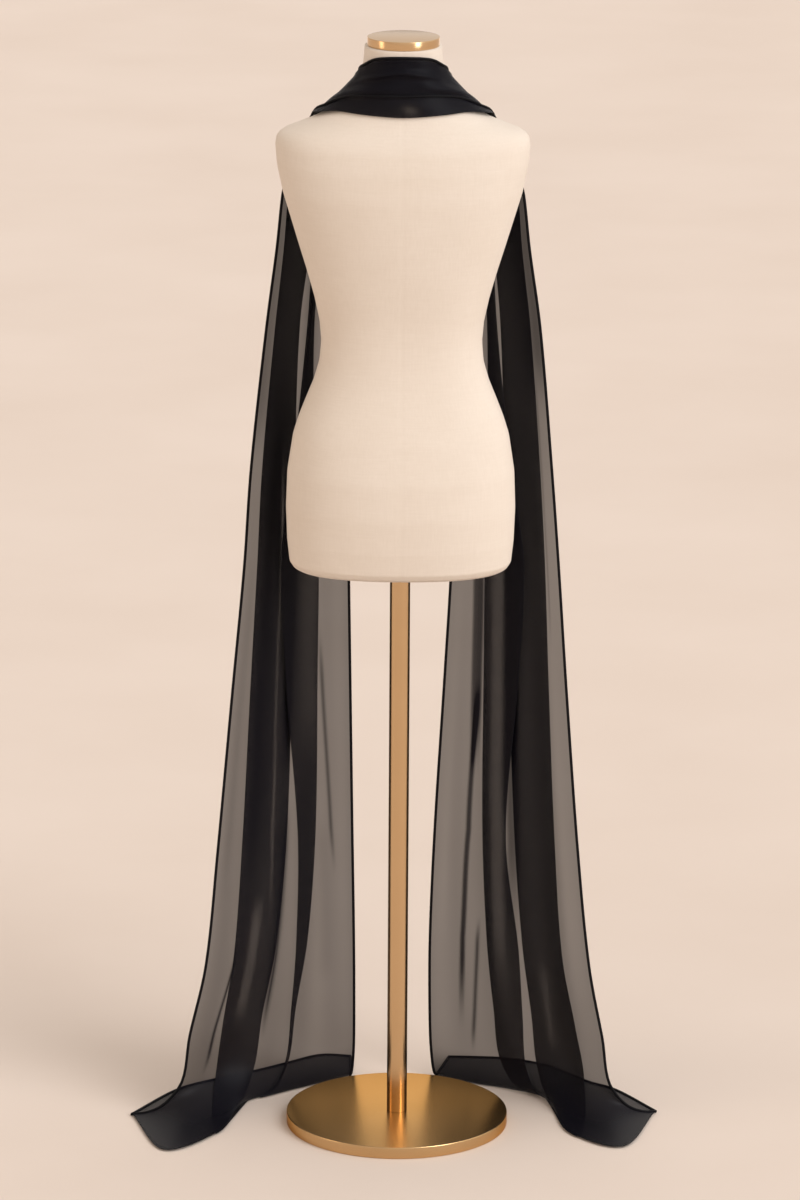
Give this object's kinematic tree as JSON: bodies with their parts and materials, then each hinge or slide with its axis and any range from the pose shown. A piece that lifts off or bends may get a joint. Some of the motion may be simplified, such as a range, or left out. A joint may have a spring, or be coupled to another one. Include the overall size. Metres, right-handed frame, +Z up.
{
  "type": "chiffon scarf on a dress form",
  "caption": "Long sheer scarf laid in flat pleats round a dress form's nape, falling in front of both shoulders to the floor; the form stands on a pole and a round base.",
  "frame": {"origin": "centre of the base disc's flat underside, on the floor", "axes": "+Z up along the pole, +Y towards the form's chest, +X towards its right as seen from behind"},
  "size_m": [0.795, 0.4574, 1.645],
  "materials": {
    "satin_brass": "brushed satin",
    "cream_linen": "plain woven cover, matte",
    "black_chiffon": "sheer plain weave with a soft sheen"
  },
  "bodies": {
    "root": {"base_disc": "satin_brass", "pole": "satin_brass", "neck_cap": "satin_brass", "form_body": "cream_linen", "scarf_nape_wrap": "black_chiffon", "scarf_left_shoulder": "black_chiffon", "scarf_right_shoulder": "black_chiffon", "scarf_left_fall": "black_chiffon", "scarf_right_fall": "black_chiffon", "scarf_left_end": "black_chiffon", "scarf_right_end": "black_chiffon"}
  },
  "joints": []
}
